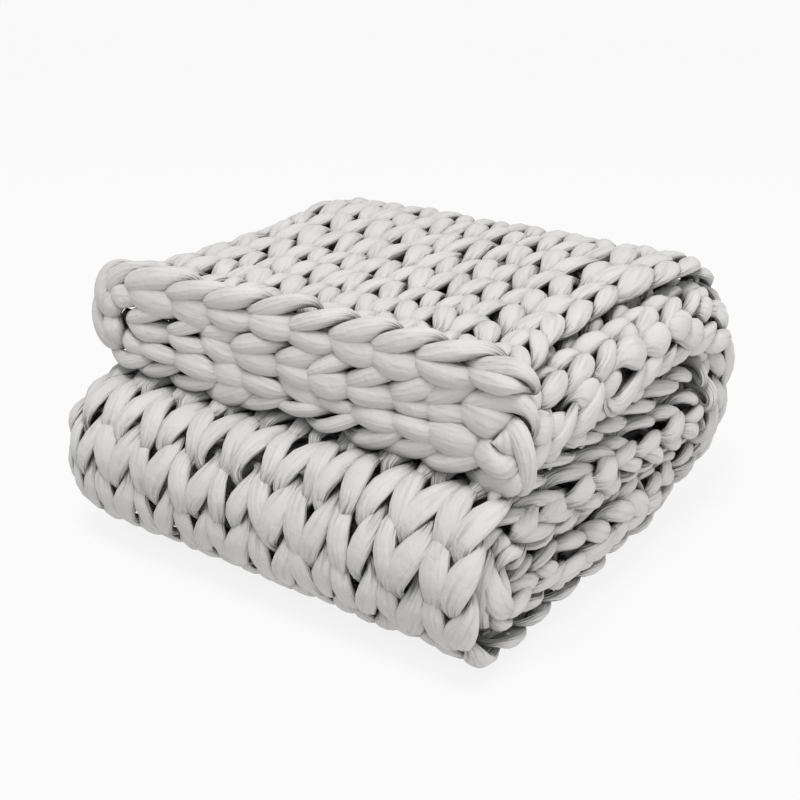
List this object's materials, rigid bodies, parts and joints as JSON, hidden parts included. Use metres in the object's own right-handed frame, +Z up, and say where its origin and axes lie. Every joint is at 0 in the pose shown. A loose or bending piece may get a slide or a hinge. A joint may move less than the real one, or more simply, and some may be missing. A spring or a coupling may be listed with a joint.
{
  "type": "folded weighted blanket",
  "caption": "Chunky hand-knitted weighted blanket, its sides folded in like a letter and the strip then folded in three into a thick soft block.",
  "frame": {"origin": "centre of the folded block's footprint, on the surface that it lies on", "axes": "+X across the knit columns, from the letter fold's left turn to the top flap's selvedge; +Y along the columns, towards the tall round fold that holds all nine layers; +Z up through the nine layers"},
  "size_m": [0.434, 0.454, 0.2262],
  "materials": {
    "cotton_jersey_grey": "matte stuffed cotton jersey tube, hand-knitted"
  },
  "bodies": {
    "root": {"blanket": "cotton_jersey_grey"}
  },
  "joints": []
}
